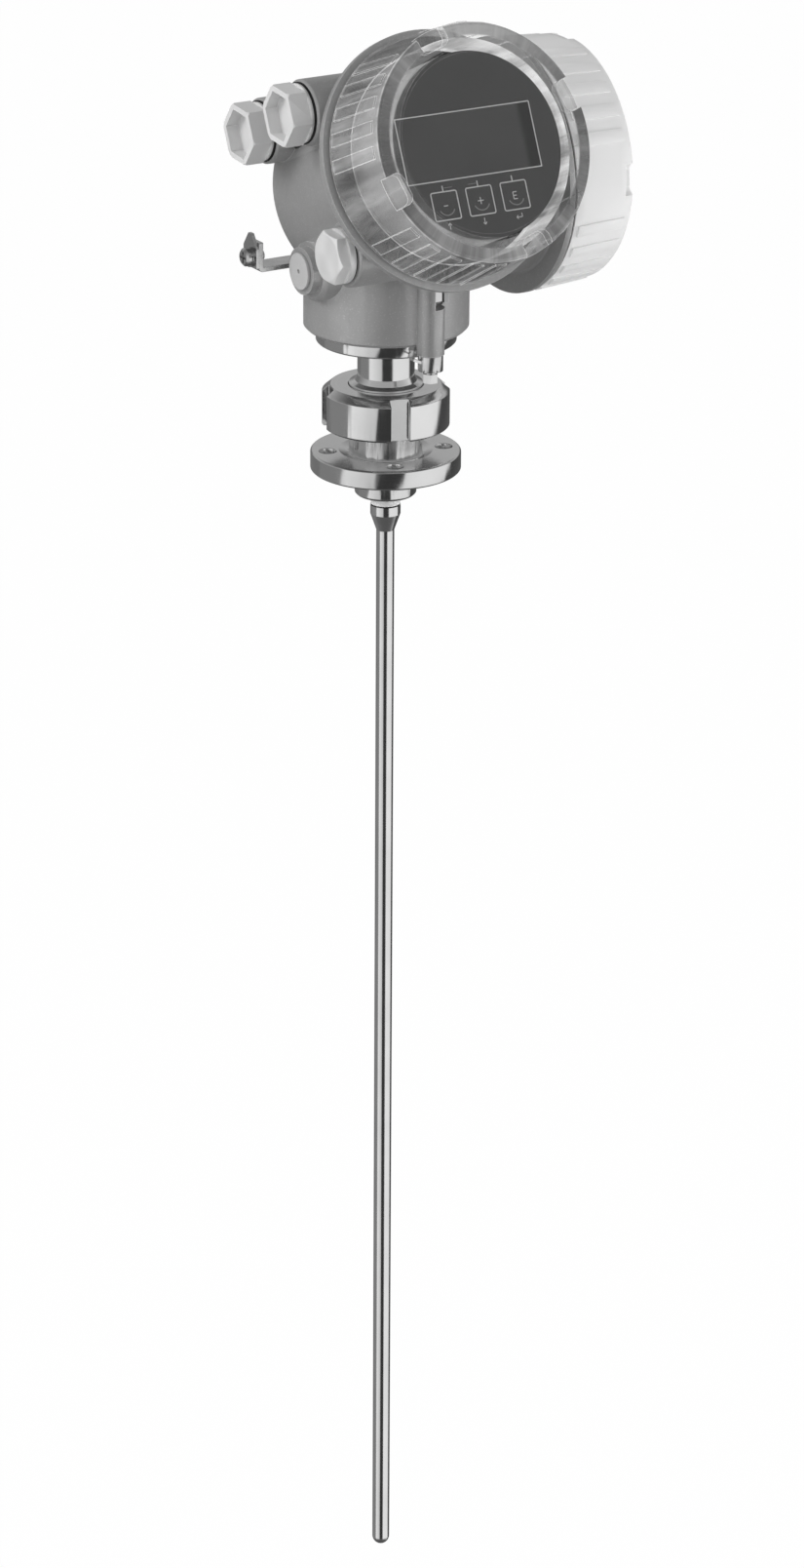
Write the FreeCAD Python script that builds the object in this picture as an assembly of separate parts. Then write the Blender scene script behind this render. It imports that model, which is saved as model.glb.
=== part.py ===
"""Guided wave radar level transmitter: rod probe, aseptic flange, union nut and two-cover head.

The frame is in millimetres. Its origin is the centre of the flange's lower face, +Z points up the
probe's axis and -Y is the side that the display looks to. The head has a frame of its own: X stays,
"up" runs along the display's face and "out" runs along the display's axis, which leans back.
"""
import FreeCAD, Part
import math
import os

V = FreeCAD.Vector

# Process connection
flange_radius = 38.0
flange_height = 10.0
bolt_circle_inset = 8.5
bolt_hole_radius = 4.5
bolt_count = 4
bolt_first_angle = 68.0
flange_edge_chamfer = 0.8
flange_dish_width = 5.2
flange_dish_depth = 1.4
spigot_radius = 16.3
spigot_step_height = 4.6
spigot_end_radius = 15.6
spigot_length = 13.4
stub_radius = 18.5
stub_length = 13.4
liner_bore_radius = 8.0
male_thread_radius = 26.0
male_thread_length = 9.3

# Union nut
nut_radius = 32.1
nut_height = 21.7
nut_chamfer_width = 4.2
nut_chamfer_height = 1.3
nut_wall_top = 4.6
nut_slot_count = 4
nut_slot_width = 9.6
nut_slot_depth = 4.0
nut_slot_angle = 253.0
thread_play = 0.15

# Neck tube and adapter
coupling_seal_height = 1.0
liner_shoulder_radius = 25.0
collar_radius = 18.7
collar_stand = 1.0
collar_fillet = 4.0
neck_radius = 14.4
neck_end_stand = 3.0
neck_bottom_gap = 22.7
adapter_inset = 6.15
adapter_height = 7.0
adapter_hub_radius = 22.0
adapter_hub_length = 15.0
swivel_gap = 0.3
running_play = 0.08
retaining_ring_width = 4.0
retaining_ring_height = 1.6
retaining_groove_depth = 1.2

# Probe
rod_radius = 4.6
rod_end_z = -617.7
ferrule_radius = 7.7
ferrule_height = 4.7
ferrule_taper = 8.8
insulator_ring_radius = 7.5
insulator_ring_height = 5.1
probe_seal_height = 0.7
probe_seal_radius = 7.2
stud_radius = 3.0
insulator_top = 46.0
glass_height = 12.0
conductor_radius = 1.2
conductor_sleeve_radius = 3.6

# Head: leaning frame, drums and neck
head_lean = 24.3
neck_height = 73.1
drum_radius = 51.7
drum_back = 27.0
drum_back_round = 5.0
drum_wall = 5.0
rim_width = 12.6
rim_stand = 1.8
rim_height = 6.2
rim_step = 1.6
rim_step_height = 2.4
rim_flare_height = 4.0
side_axis_out = 0.0
side_drum_radius = 54.0
side_rim_width = 10.3
side_rim_stand = 5.1
side_rim_height = 3.0
side_flare_height = 1.2
neck_drum_radius = 41.4
neck_drum_edge = 1.5
neck_floor = 11.5
neck_room_inset = 9.0
neck_room_height = 21.3
neck_drum_sink = 20.0

# Compartments inside the casting
partition_out = 17.0
partition_thickness = 5.0
cable_room_round = 9.0
cable_room_inset = 13.0
cable_room_back = 8.0
side_wall = 2.8
duct_radius = 5.0
neck_pass_radius = 14.0
lead_socket_up = -16.0
lead_socket_radius = 4.5
duct_offset = 8.0

# Screwed covers
thread_wall = 1.5
side_thread_wall = 3.8
cover_thread_length = 9.5
cover_hub_wall = 2.6
cover_room_clearance = 2.8
cover_roof_slope = 6.4
cover_gap = 1.8
cover_seal_inset = 1.1
cover_rim_inset = 2.9
cover_taper = 3.1
cover_height = 42.7
cover_edge_round = 1.6
cover_face_width = 12.0
cover_window_sink = 2.2
cover_window_thickness = 3.4
side_cover_rim_inset = 0.9
side_cover_taper = 2.0
side_cover_height = 34.6
rib_count_per_quarter = 5
rib_pitch_angle = 12.0
rib_width = 6.4
rib_height = 0.8
rib_end_gap = 1.6
notch_count = 4
notch_first_angle = 18.0
side_notch_first_angle = 22.5
notch_width = 16.0
notch_depth = 5.0
notch_reach = 9.0
side_notch_reach = 4.5

# Display module, electronics and terminals
display_play = 0.9
display_below_cover = 7.55
foil_thickness = 1.0
lcd_side_margin = 27.4
lcd_height = 25.0
lcd_centre_across = -4.8
lcd_centre_up = 1.5
lcd_thickness = 3.2
lcd_bezel = 1.5
board_thickness = 1.6
carrier_wall = 2.6
carrier_play = 1.2
carrier_lip = 4.0
carrier_flange_height = 2.0
module_play = 2.7
module_height = 28.0
module_step = 6.0
terminal_plate_play = 2.0
terminal_plate_thickness = 3.0
terminal_count = 6
terminal_pitch = 10.0
terminal_depth = 18.0
terminal_height = 30.0
terminal_screw_radius = 3.2
terminal_slot_width = 0.9
wire_slot_length = 34.0
wire_slot_width = 12.0

# Ports, all facing -X
port_back_out = -11.0
port_front_inset = 23.8
port_boss_radius = 16.3
port_boss_inset = 7.3
port_bore_radius = 9.8
port_bore_depth = 21.0
port_front_bore_depth = 16.0
plug_across_flats = 27.0
plug_hex_length = 10.4
plug_collar_radius = 14.6
plug_collar_length = 1.4
plug_gasket_thickness = 1.2
plug_wall = 2.6
plug_recess_depth = 6.5
plug_shank_length = 12.0
vent_boss_radius = 16.0
vent_boss_inset = 10.0
vent_ring_radius = 11.8
vent_ring_height = 4.5
vent_disc_radius = 9.15
vent_disc_height = 1.6
vent_shank_radius = 6.5
vent_shank_length = 12.0
vent_hole_radius = 1.1
screw_port_inset = 25.8
screw_boss_inset = 8.0
screw_shank_length = 8.0
screw_plug_hex = 23.6
screw_plug_hex_length = 6.0
screw_plug_collar_radius = 13.6
screw_plug_collar_length = 3.0
screw_plug_seal_thickness = 0.8

# Cover lock in front of the neck
lock_stand = 1.2
lock_boss_radius = 6.9
lock_boss_drop = 3.7
lock_bore_radius = 3.2
lock_slot_below_head = 39.6
lock_slot_height = 13.5
lock_slot_side = -1.4
lock_stop_width = 3.8
lock_stop_height = 16.0
lock_sleeve_radius = 6.3
lock_sleeve_height = 8.0
lock_screw_flats = 7.0
lock_screw_height = 6.2
lock_claw_rise = 5.9
lock_claw_height = 5.0
lock_claw_reach = 6.2
lock_claw_width = 3.6
lock_notch_width = 1.4
lock_notch_height = 1.0
lock_lug_reach = 5.0
lock_lug_thickness = 1.3
lock_lug_slope = 24.0
lock_socket_radius = 2.5
lock_socket_depth = 6.0

# Ground terminal at the rear left
ground_y = 18.0
ground_below_head = 32.6
ground_strap_drop = 7.0
ground_root_depth = 9.0
ground_strap_width = 13.0
ground_strap_thickness = 2.4
ground_strap_stand = 9.0
ground_hole_depth = 12.0
ground_plate_thickness = 1.6
ground_plate_height = 17.0
ground_screw_radius = 2.5
ground_head_radius = 4.6
ground_head_height = 3.0
ground_washer_radius = 5.2
ground_washer_thickness = 1.0

# Places that follow from the sizes above
bolt_circle_radius = flange_radius - bolt_circle_inset
nut_bottom = flange_height + stub_length - 0.6
nut_top = nut_bottom + nut_height
male_bottom = flange_height + stub_length
male_top = male_bottom + male_thread_length
liner_bottom = male_top + coupling_seal_height
shoulder_top = nut_top - nut_wall_top - thread_play
adapter_radius = neck_drum_radius - adapter_inset
adapter_bottom = nut_top + neck_bottom_gap
adapter_top = adapter_bottom + adapter_height
hub_top = adapter_top + adapter_hub_length
neck_drum_bottom = adapter_top + swivel_gap
neck_floor_top = neck_drum_bottom + neck_floor
head_height = neck_drum_bottom + neck_height
ring_bottom_z = -spigot_length - insulator_ring_height
ferrule_top = ring_bottom_z - probe_seal_height
drum_bore = drum_radius - drum_wall
rim_front = side_axis_out + side_drum_radius + rim_stand
rim_radius = drum_radius + rim_width
thread_radius = drum_radius - thread_wall
side_thread_radius = side_drum_radius - side_thread_wall
side_bore = side_drum_radius - drum_wall
side_room_start = drum_bore + side_wall
side_rim_radius = side_drum_radius + side_rim_width
side_rim_front = rim_radius + side_rim_stand
cover_back = rim_front + cover_gap
cover_front = cover_back + cover_height
cover_back_radius = rim_radius - cover_rim_inset
cover_front_radius = cover_back_radius - cover_taper
side_cover_back = side_rim_front + cover_gap
side_cover_back_radius = side_rim_radius - side_cover_rim_inset
side_cover_front_radius = side_cover_back_radius - side_cover_taper
side_cover_front = side_cover_back + side_cover_height
hub_inner = thread_radius - cover_hub_wall
display_radius = thread_radius + cover_room_clearance - cover_roof_slope - display_play
lcd_width = 2 * display_radius - lcd_side_margin
display_front = cover_front - display_below_cover
display_back = display_front - foil_thickness
lcd_back = display_back - lcd_thickness
board_back = lcd_back - board_thickness
module_back = partition_out + partition_thickness
carrier_back = module_back + module_height
module_radius = drum_bore - module_play
neck_top = head_height - neck_drum_sink
port_up = drum_radius - port_boss_radius
port_front_out = rim_front - port_front_inset
screw_port_out = rim_front - screw_port_inset
port_boss_end = rim_radius - port_boss_inset
cable_room_half_wide = port_boss_end - cable_room_inset
vent_boss_end = port_boss_end - vent_boss_inset
vent_ring_end = vent_boss_end + vent_ring_height
screw_boss_end = port_boss_end - screw_boss_inset
lock_y = -neck_drum_radius - lock_stand
lock_boss_bottom = neck_drum_bottom - lock_boss_drop
lock_slot_top = head_height - lock_slot_below_head
lock_slot_bottom = lock_slot_top - lock_slot_height
lock_claw_bottom = lock_slot_bottom + lock_claw_rise
ground_up_z = head_height - ground_below_head
ground_strap_z = ground_up_z - ground_strap_drop
ground_strap_end = port_boss_end + ground_strap_stand


def turned(outline):
    """Solid of revolution about Z from (radius, height) points."""
    points = [V(r, 0, z) for r, z in outline]
    face = Part.Face(Part.makePolygon(points + [points[0]]))
    return face.revolve(V(0, 0, 0), V(0, 0, 1), 360)


def rod(radius, bottom, top):
    return Part.makeCylinder(radius, top - bottom, V(0, 0, bottom))


def ring(outer, inner, bottom, top):
    return rod(outer, bottom, top).cut(rod(inner, bottom - 1, top + 1))


def block(x0, x1, y0, y1, z0, z1):
    return Part.makeBox(x1 - x0, y1 - y0, z1 - z0, V(x0, y0, z0))


def hexagon(across_flats, bottom, top, first_angle=0.0):
    corner = across_flats / math.sqrt(3)
    angles = [math.radians(first_angle + 60 * i) for i in range(6)]
    points = [V(corner * math.cos(a), corner * math.sin(a), bottom) for a in angles]
    face = Part.Face(Part.makePolygon(points + [points[0]]))
    return face.extrude(V(0, 0, top - bottom))


def moved(shape, x, y, z):
    copy = shape.copy()
    copy.translate(V(x, y, z))
    return copy


def turned_by(shape, axis, angle):
    copy = shape.copy()
    copy.rotate(V(0, 0, 0), axis, angle)
    return copy


def in_head(shape):
    """From the head's own frame (X, up, out) to the part's frame."""
    return moved(turned_by(shape, V(1, 0, 0), 90 - head_lean), 0, 0, head_height)


def facing_right(shape, up, out):
    """Turn a Z-axis shape to face +X in the head's frame, on the line (up, out)."""
    return moved(turned_by(shape, V(0, 1, 0), 90), 0, up, out)


def facing_left(shape, up, out):
    """Turn a Z-axis shape to face -X in the head's frame, on the line (up, out)."""
    return moved(turned_by(shape, V(0, 1, 0), -90), 0, up, out)


def around_z(shape, count, first_angle=0.0):
    return [turned_by(shape, V(0, 0, 1), first_angle + 360.0 * i / count) for i in range(count)]


def whole(shape):
    """One solid without leftover seams."""
    clean = shape.removeSplitter()
    return clean.Solids[0] if len(clean.Solids) == 1 else clean


# Process connection and probe

def process_flange():
    """Bolted flange, stub with the male thread and the spigot below, turned from one bar."""
    c = flange_edge_chamfer
    outline = [
        (liner_bore_radius, -spigot_length),
        (spigot_end_radius - 1.2, -spigot_length),
        (spigot_end_radius, -spigot_length + 1.2),
        (spigot_end_radius, -spigot_step_height),
        (spigot_radius, -spigot_step_height),
        (spigot_radius, 0),
        (flange_radius - c, 0),
        (flange_radius, c),
        (flange_radius, flange_height - c),
        (flange_radius - c, flange_height),
        (stub_radius + flange_dish_width, flange_height),
        (stub_radius, flange_height - flange_dish_depth),
        (stub_radius, male_bottom),
        (male_thread_radius, male_bottom),
        (male_thread_radius, male_top),
        (liner_bore_radius, male_top),
    ]
    body = turned(outline)
    hole = moved(rod(bolt_hole_radius, -1, flange_height + 1), bolt_circle_radius, 0, 0)
    return whole(body.cut(around_z(hole, bolt_count, bolt_first_angle)))


def union_nut():
    """Slotted round nut; its top wall pulls the neck's shoulder onto the stub."""
    outline = [
        (male_thread_radius + thread_play, nut_bottom),
        (nut_radius - 1, nut_bottom),
        (nut_radius, nut_bottom + 1),
        (nut_radius, nut_top - nut_chamfer_height - 2.2),
        (nut_radius - nut_chamfer_width, nut_top),
        (collar_radius + 2 * thread_play, nut_top),
        (collar_radius + 2 * thread_play, nut_top - nut_wall_top),
        (male_thread_radius + thread_play, nut_top - nut_wall_top),
    ]
    body = turned(outline)
    slot = block(nut_radius - nut_slot_depth, nut_radius + 2, -nut_slot_width / 2, nut_slot_width / 2,
                 nut_bottom - 1, nut_top + 1)
    return whole(body.cut(around_z(slot, nut_slot_count, nut_slot_angle)))


def coupling_seal():
    return ring(male_thread_radius - 5, liner_bore_radius + 1.5, male_top, liner_bottom)


def neck_tube():
    """Upper liner: shoulder under the nut, collar in the nut's bore, flare and tube."""
    collar_top = nut_top + collar_stand
    flare = collar_radius - neck_radius
    outline = [
        (liner_bore_radius, liner_bottom),
        (liner_shoulder_radius, liner_bottom),
        (liner_shoulder_radius, shoulder_top),
        (collar_radius, shoulder_top),
        (collar_radius, collar_top),
        (neck_radius + 0.93 * flare, collar_top),
        (neck_radius + 0.27 * flare, collar_top + 0.27 * collar_fillet),
        (neck_radius, collar_top + collar_fillet),
        (neck_radius, hub_top + neck_end_stand),
        (liner_bore_radius, hub_top + neck_end_stand),
    ]
    return turned(outline)


def adapter_ring():
    """Ring under the housing with the hub that the head swivels on."""
    groove_bottom = neck_floor_top + swivel_gap
    groove_top = groove_bottom + retaining_ring_height
    outline = [
        (neck_radius, adapter_bottom),
        (adapter_radius - 0.8, adapter_bottom),
        (adapter_radius, adapter_bottom + 0.8),
        (adapter_radius, adapter_top),
        (adapter_hub_radius, adapter_top),
        (adapter_hub_radius, groove_bottom),
        (adapter_hub_radius - retaining_groove_depth, groove_bottom),
        (adapter_hub_radius - retaining_groove_depth, groove_top),
        (adapter_hub_radius, groove_top),
        (adapter_hub_radius, hub_top),
        (neck_radius, hub_top),
    ]
    return turned(outline)


def retaining_ring():
    """Snap ring in the hub's groove, above the housing's floor."""
    bottom = neck_floor_top + swivel_gap
    inner = adapter_hub_radius - retaining_groove_depth
    body = ring(inner + retaining_ring_width, inner, bottom, bottom + retaining_ring_height)
    gap = block(inner - 1, inner + retaining_ring_width + 1, -3, 3, bottom - 1, bottom + 3)
    return body.cut(gap)


def probe_insulator():
    """White ring below the spigot with the sleeve that runs up the bore."""
    outline = [
        (stud_radius, ring_bottom_z),
        (insulator_ring_radius, ring_bottom_z),
        (insulator_ring_radius, -spigot_length),
        (liner_bore_radius, -spigot_length),
        (liner_bore_radius, insulator_top),
        (stud_radius, insulator_top),
    ]
    return turned(outline)


def probe_seal():
    return ring(probe_seal_radius, stud_radius, ferrule_top, ring_bottom_z)


def probe_rod():
    """Solid rod with ferrule, rounded end and the stud that runs through the insulator."""
    taper_end = ferrule_top - ferrule_height - ferrule_taper
    outline = [
        (0, rod_end_z + rod_radius),
        (rod_radius, rod_end_z + rod_radius),
        (rod_radius, taper_end),
        (ferrule_radius, ferrule_top - ferrule_height),
        (ferrule_radius, ferrule_top),
        (stud_radius, ferrule_top),
        (stud_radius, insulator_top + glass_height / 2),
        (0, insulator_top + glass_height / 2),
    ]
    tip = Part.makeSphere(rod_radius, V(0, 0, rod_end_z + rod_radius))
    return whole(turned(outline).fuse(tip))


def glass_feedthrough():
    """Pressure-tight glass plug in the neck, around the top of the stud."""
    body = rod(liner_bore_radius, insulator_top, insulator_top + glass_height)
    socket = rod(stud_radius, insulator_top - 1, insulator_top + glass_height / 2)
    lead = rod(conductor_radius, insulator_top, insulator_top + glass_height + 1)
    return body.cut([socket, lead])


def signal_lead():
    """Coaxial lead from the feedthrough up to the electronics, on the neck's axis."""
    start = insulator_top + glass_height / 2
    sleeve_start = insulator_top + glass_height + swivel_gap
    core = rod(conductor_radius - running_play, start, sleeve_start + 1)
    lean = math.radians(head_lean)
    out = V(0, -math.cos(lean), math.sin(lean))
    up = V(0, math.sin(lean), math.cos(lean))
    socket = V(0, 0, head_height) + up * lead_socket_up + out * module_back
    bend = socket + out * (socket.y / math.cos(lean))
    foot = V(0, 0, sleeve_start)
    route = Part.makePolygon([foot, bend, socket])
    section = Part.Wire(Part.makeCircle(conductor_sleeve_radius, foot, V(0, 0, 1)))
    sleeve = route.makePipeShell([section], True, False, 1)
    return whole(core.fuse(sleeve))


# Casting

def display_drum():
    """Drum along the display's axis with the stepped rim that the clear cover screws into."""
    back = -drum_back
    rim_back = rim_front - rim_height
    flare_back = rim_back - rim_flare_height
    corner = drum_back_round * (1 - math.sqrt(0.5))
    return turned([
        (0, back),
        (drum_radius - drum_back_round, back),
        (drum_radius - corner, back + corner),
        (drum_radius, back + drum_back_round),
        (drum_radius, flare_back),
        (rim_radius - rim_step, rim_back),
        (rim_radius - rim_step, rim_back + rim_step_height),
        (rim_radius, rim_back + rim_step_height),
        (rim_radius, rim_front),
        (0, rim_front),
    ])


def side_drum():
    """Drum along +X for the wiring side, with the flange that the white cover meets."""
    rim_back = side_rim_front - side_rim_height
    outline = [
        (0, 0),
        (side_drum_radius, 0),
        (side_drum_radius, rim_back - side_flare_height),
        (side_drum_radius + side_flare_height, rim_back),
        (side_rim_radius, rim_back),
        (side_rim_radius, side_rim_front),
        (0, side_rim_front),
    ]
    full = turned(outline)
    return facing_right(full, 0, side_axis_out)


def port_bosses():
    """Four bosses parallel to X; their far flanks are flush with the display drum."""
    cable = turned([(0, 0), (port_boss_radius, 0), (port_boss_radius, port_boss_end - 1),
                    (port_boss_radius - 1, port_boss_end), (0, port_boss_end)])
    vent = turned([(0, 0), (vent_boss_radius, 0), (vent_boss_radius, vent_boss_end - 2),
                   (vent_boss_radius - 2, vent_boss_end), (vent_ring_radius, vent_boss_end),
                   (vent_ring_radius, vent_ring_end),
                   (0, vent_ring_end)])
    screw = turned([(0, 0), (vent_boss_radius, 0), (vent_boss_radius, screw_boss_end - 1),
                    (vent_boss_radius - 1, screw_boss_end), (0, screw_boss_end)])
    return [
        facing_left(cable, port_up, port_back_out),
        facing_left(cable, port_up, port_front_out),
        facing_left(vent, -port_up, port_back_out),
        facing_left(screw, -port_up, screw_port_out),
    ]


def neck_drum():
    """Upright drum that stands on the adapter ring."""
    e = neck_drum_edge
    outline = [
        (0, neck_drum_bottom),
        (neck_drum_radius - e, neck_drum_bottom),
        (neck_drum_radius, neck_drum_bottom + e),
        (neck_drum_radius, neck_top),
        (0, neck_top),
    ]
    return turned(outline)


def lock_boss():
    boss = moved(rod(lock_boss_radius, lock_boss_bottom, neck_top), 0, lock_y, 0)
    web = block(-lock_boss_radius, lock_boss_radius, lock_y, lock_y + lock_boss_radius,
                neck_drum_bottom + neck_drum_edge, neck_top)
    stop_side = lock_boss_radius + lock_stop_width
    stop_bottom = lock_slot_bottom + 1
    stop = block(0, stop_side, -neck_drum_radius - 0.6, 0, stop_bottom, stop_bottom + lock_stop_height)
    return boss.fuse([web, stop])


def compartments():
    """Everything that is hollow in the casting, in the head's frame."""
    thread_bore = thread_radius + 2 * running_play
    side_thread_bore = side_thread_radius + 2 * running_play
    front = turned([
        (0, partition_out + partition_thickness),
        (drum_bore, partition_out + partition_thickness),
        (drum_bore, cover_back - cover_thread_length - 4),
        (thread_bore, cover_back - cover_thread_length),
        (thread_bore, rim_front + 1),
        (0, rim_front + 1),
    ])
    side = turned([
        (0, side_room_start),
        (side_bore, side_room_start),
        (side_bore, side_cover_back - cover_thread_length - 4),
        (side_thread_bore, side_cover_back - cover_thread_length),
        (side_thread_bore, side_rim_front + 1),
        (0, side_rim_front + 1),
    ])
    room = block(-cable_room_half_wide, side_room_start + 1, 1.4 - port_up, port_up - 1.4,
                 cable_room_back - drum_back, partition_out)
    corners = [e for e in room.Edges if abs(e.tangentAt(e.FirstParameter).x) > 0.9]
    room = room.makeFillet(cable_room_round, corners)
    bore = rod(port_bore_radius, port_boss_end - port_bore_depth, port_boss_end + 1)
    front_bore = rod(port_bore_radius, port_boss_end - port_front_bore_depth, port_boss_end + 1)
    duct = moved(rod(duct_radius, -2, port_front_out), -cable_room_half_wide, port_up - duct_offset, 0)
    socket = moved(rod(lead_socket_radius, partition_out - 1, partition_out + partition_thickness + 1),
                   0, lead_socket_up, 0)
    return [
        front,
        facing_right(side, 0, side_axis_out),
        room,
        socket,
        facing_left(bore, port_up, port_back_out),
        facing_left(front_bore, port_up, port_front_out),
        duct,
    ]


def plug_seats():
    """Blind seats of the vent plug and the screw plug, in the head's frame."""
    vent = rod(vent_shank_radius, vent_ring_end - vent_shank_length, vent_ring_end + 1)
    screw = rod(port_bore_radius, screw_boss_end - screw_shank_length, screw_boss_end + 1)
    return [facing_left(vent, -port_up, port_back_out), facing_left(screw, -port_up, screw_port_out)]


def lock_room():
    """Bore of the cover lock and the open pocket that its claw swings in."""
    bore = moved(rod(lock_bore_radius, lock_boss_bottom - 1, lock_slot_top), 0, lock_y, 0)
    side = lock_boss_radius + 1.2
    pocket = block(lock_slot_side, side, lock_y - side, lock_y + lock_claw_width + lock_slot_side + 1.0,
                   lock_slot_bottom, lock_slot_top)
    return [bore, pocket]


def housing():
    """Cast housing: display drum, side drum, neck and bosses in one piece."""
    head = display_drum().fuse([side_drum()] + port_bosses())
    outside = in_head(head).fuse([neck_drum(), lock_boss()])
    neck_room = rod(neck_drum_radius - neck_room_inset, neck_floor_top, neck_floor_top + neck_room_height)
    neck_pass = rod(neck_pass_radius, neck_floor_top, neck_top)
    hub_bore = rod(adapter_hub_radius + running_play, neck_drum_bottom - 1, neck_floor_top + 1)
    head_cuts = [in_head(cut) for cut in compartments() + plug_seats()]
    hollow = outside.cut(head_cuts + [neck_room, neck_pass, hub_bore] + lock_room() + [ground_seat()])
    return whole(hollow)


# Screwed covers

def cover_outline(back, front, back_radius, front_radius, thread):
    """Half section of a screwed cover whose mouth looks down Z."""
    face_inner = front_radius - cover_face_width
    sink = cover_window_sink
    hub_bottom = back - cover_thread_length
    inner = thread - cover_hub_wall
    room = thread + cover_room_clearance
    roof = room - cover_roof_slope
    window_top = front - sink
    window_bottom = window_top - cover_window_thickness
    e = cover_edge_round
    return [
        (0, window_bottom),
        (roof, window_bottom),
        (room, window_bottom - cover_roof_slope),
        (room, back + room - inner),
        (inner, back),
        (inner, hub_bottom),
        (thread, hub_bottom),
        (thread, back),
        (back_radius, back),
        (front_radius + 0.1, front - e),
        (front_radius - 0.35 * e, front - 0.35 * e),
        (front_radius - e, front),
        (face_inner, front),
        (face_inner - sink, window_top),
        (0, window_top),
    ]


def grip_rib(back, front, back_radius, front_radius):
    """One flat-topped rib that follows the cover's cone."""
    low = back + rib_end_gap
    high = front - rib_end_gap - cover_edge_round
    slope = (back_radius - front_radius) / (front - back)
    low_radius = back_radius - slope * (low - back)
    high_radius = back_radius - slope * (high - back)
    points = [
        V(low_radius - 2, 0, low),
        V(low_radius + rib_height, 0, low + 1.2),
        V(high_radius + rib_height, 0, high - 1.2),
        V(high_radius - 2, 0, high),
    ]
    face = Part.Face(Part.makePolygon(points + [points[0]]))
    half = math.degrees(rib_width / 2 / back_radius)
    return turned_by(face, V(0, 0, 1), -half).revolve(V(0, 0, 0), V(0, 0, 1), 2 * half)


def spanner_notch(front, front_radius, reach):
    """Notch across the face's edge; its inner end is round."""
    inner = front_radius - reach + notch_width / 4
    bottom = front - notch_depth
    box = block(inner, front_radius + 5, -notch_width / 2, notch_width / 2, bottom, front + 1)
    end = block(front_radius - reach, inner + 1, -notch_width / 4, notch_width / 4, bottom, front + 1)
    corners = [moved(rod(notch_width / 4, bottom, front + 1), inner, side * notch_width / 4, 0) for side in (-1, 1)]
    return box.fuse([end] + corners)


def screwed_cover(back, front, back_radius, front_radius, thread, reach, first_angle):
    body = turned(cover_outline(back, front, back_radius, front_radius, thread))
    rib = grip_rib(back, front, back_radius, front_radius)
    ribs = []
    for quarter in range(notch_count):
        middle = first_angle + (quarter + 0.5) * 360.0 / notch_count
        for i in range(rib_count_per_quarter):
            offset = (i - (rib_count_per_quarter - 1) / 2) * rib_pitch_angle
            ribs.append(turned_by(rib, V(0, 0, 1), middle + offset))
    notches = around_z(spanner_notch(front, front_radius, reach), notch_count, first_angle)
    return whole(body.fuse(ribs).cut(notches))


def display_cover():
    """Clear cover over the display."""
    cover = screwed_cover(cover_back, cover_front, cover_back_radius, cover_front_radius,
                          thread_radius, notch_reach, notch_first_angle)
    return in_head(cover)


def terminal_cover():
    """White cover of the wiring side."""
    cover = screwed_cover(side_cover_back, side_cover_front, side_cover_back_radius,
                          side_cover_front_radius, side_thread_radius, side_notch_reach,
                          side_notch_first_angle)
    return in_head(facing_right(cover, 0, side_axis_out))


def cover_seal(bottom, back_radius, thread):
    return ring(back_radius - cover_seal_inset, thread + running_play, bottom, bottom + cover_gap)


def display_cover_seal():
    return in_head(cover_seal(rim_front, cover_back_radius, thread_radius))


def terminal_cover_seal():
    seal = cover_seal(side_rim_front, side_cover_back_radius, side_thread_radius)
    return in_head(facing_right(seal, 0, side_axis_out))


# Display module and electronics

def display_panel():
    """Round front foil plate; its print stays with the scene."""
    plate = rod(display_radius, display_back, display_front)
    return in_head(plate)


def lcd_module():
    half_wide = lcd_width / 2 + lcd_bezel
    half_high = lcd_height / 2 + lcd_bezel
    glass = block(lcd_centre_across - half_wide, lcd_centre_across + half_wide,
                  lcd_centre_up - half_high, lcd_centre_up + half_high, lcd_back, display_back)
    return in_head(glass)


def display_carrier():
    """Cup that holds the display, its board and the front plate, with a foot flange."""
    outer = display_radius
    inner = display_radius - carrier_wall
    outline = [
        (inner, carrier_back + carrier_flange_height),
        (inner - carrier_lip, carrier_back + carrier_flange_height),
        (inner - carrier_lip, carrier_back),
        (hub_inner - carrier_play, carrier_back),
        (hub_inner - carrier_play, carrier_back + carrier_flange_height),
        (outer, carrier_back + carrier_flange_height),
        (outer, display_back),
        (inner, display_back),
    ]
    return in_head(turned(outline))


def display_board():
    plate = rod(display_radius - carrier_wall, board_back, lcd_back)
    return in_head(plate)


def electronics_module():
    """Encapsulated electronics on the partition, with a stepped top."""
    top = module_back + module_height
    outline = [
        (0, module_back),
        (module_radius, module_back),
        (module_radius, top - module_step),
        (module_radius - 2, top - module_step),
        (module_radius - 2, top),
        (0, top),
    ]
    return in_head(turned(outline))


def terminal_plate():
    top = side_room_start + terminal_plate_thickness
    plate = rod(side_bore - terminal_plate_play, side_room_start, top)
    slot = block(-wire_slot_length / 2, wire_slot_length / 2, terminal_height / 2 + 3,
                 terminal_height / 2 + 3 + wire_slot_width, side_room_start - 1, top + 1)
    return in_head(facing_right(plate.cut(slot), 0, side_axis_out))


def terminal_row():
    """Terminal block's outline in its own frame: Z is the way out of the compartment."""
    length = terminal_count * terminal_pitch
    low = side_room_start + terminal_plate_thickness
    body = block(-length / 2, length / 2, -terminal_height / 2, terminal_height / 2, low, low + terminal_depth)
    step = block(-length / 2 - 1, length / 2 + 1, 4, terminal_height, low + 10, low + terminal_depth + 1)
    body = body.cut(step)
    for i in range(terminal_count):
        x = (i - (terminal_count - 1) / 2) * terminal_pitch
        wide = terminal_screw_radius + 0.2
        well = block(x - wide, x + wide, -6 - wide, -6 + wide, low + terminal_depth - 6, low + terminal_depth + 1)
        mouth = block(x - 2.6, x + 2.6, 7, terminal_height, low + 3, low + 8)
        body = body.cut([well, mouth])
    return body


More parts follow.
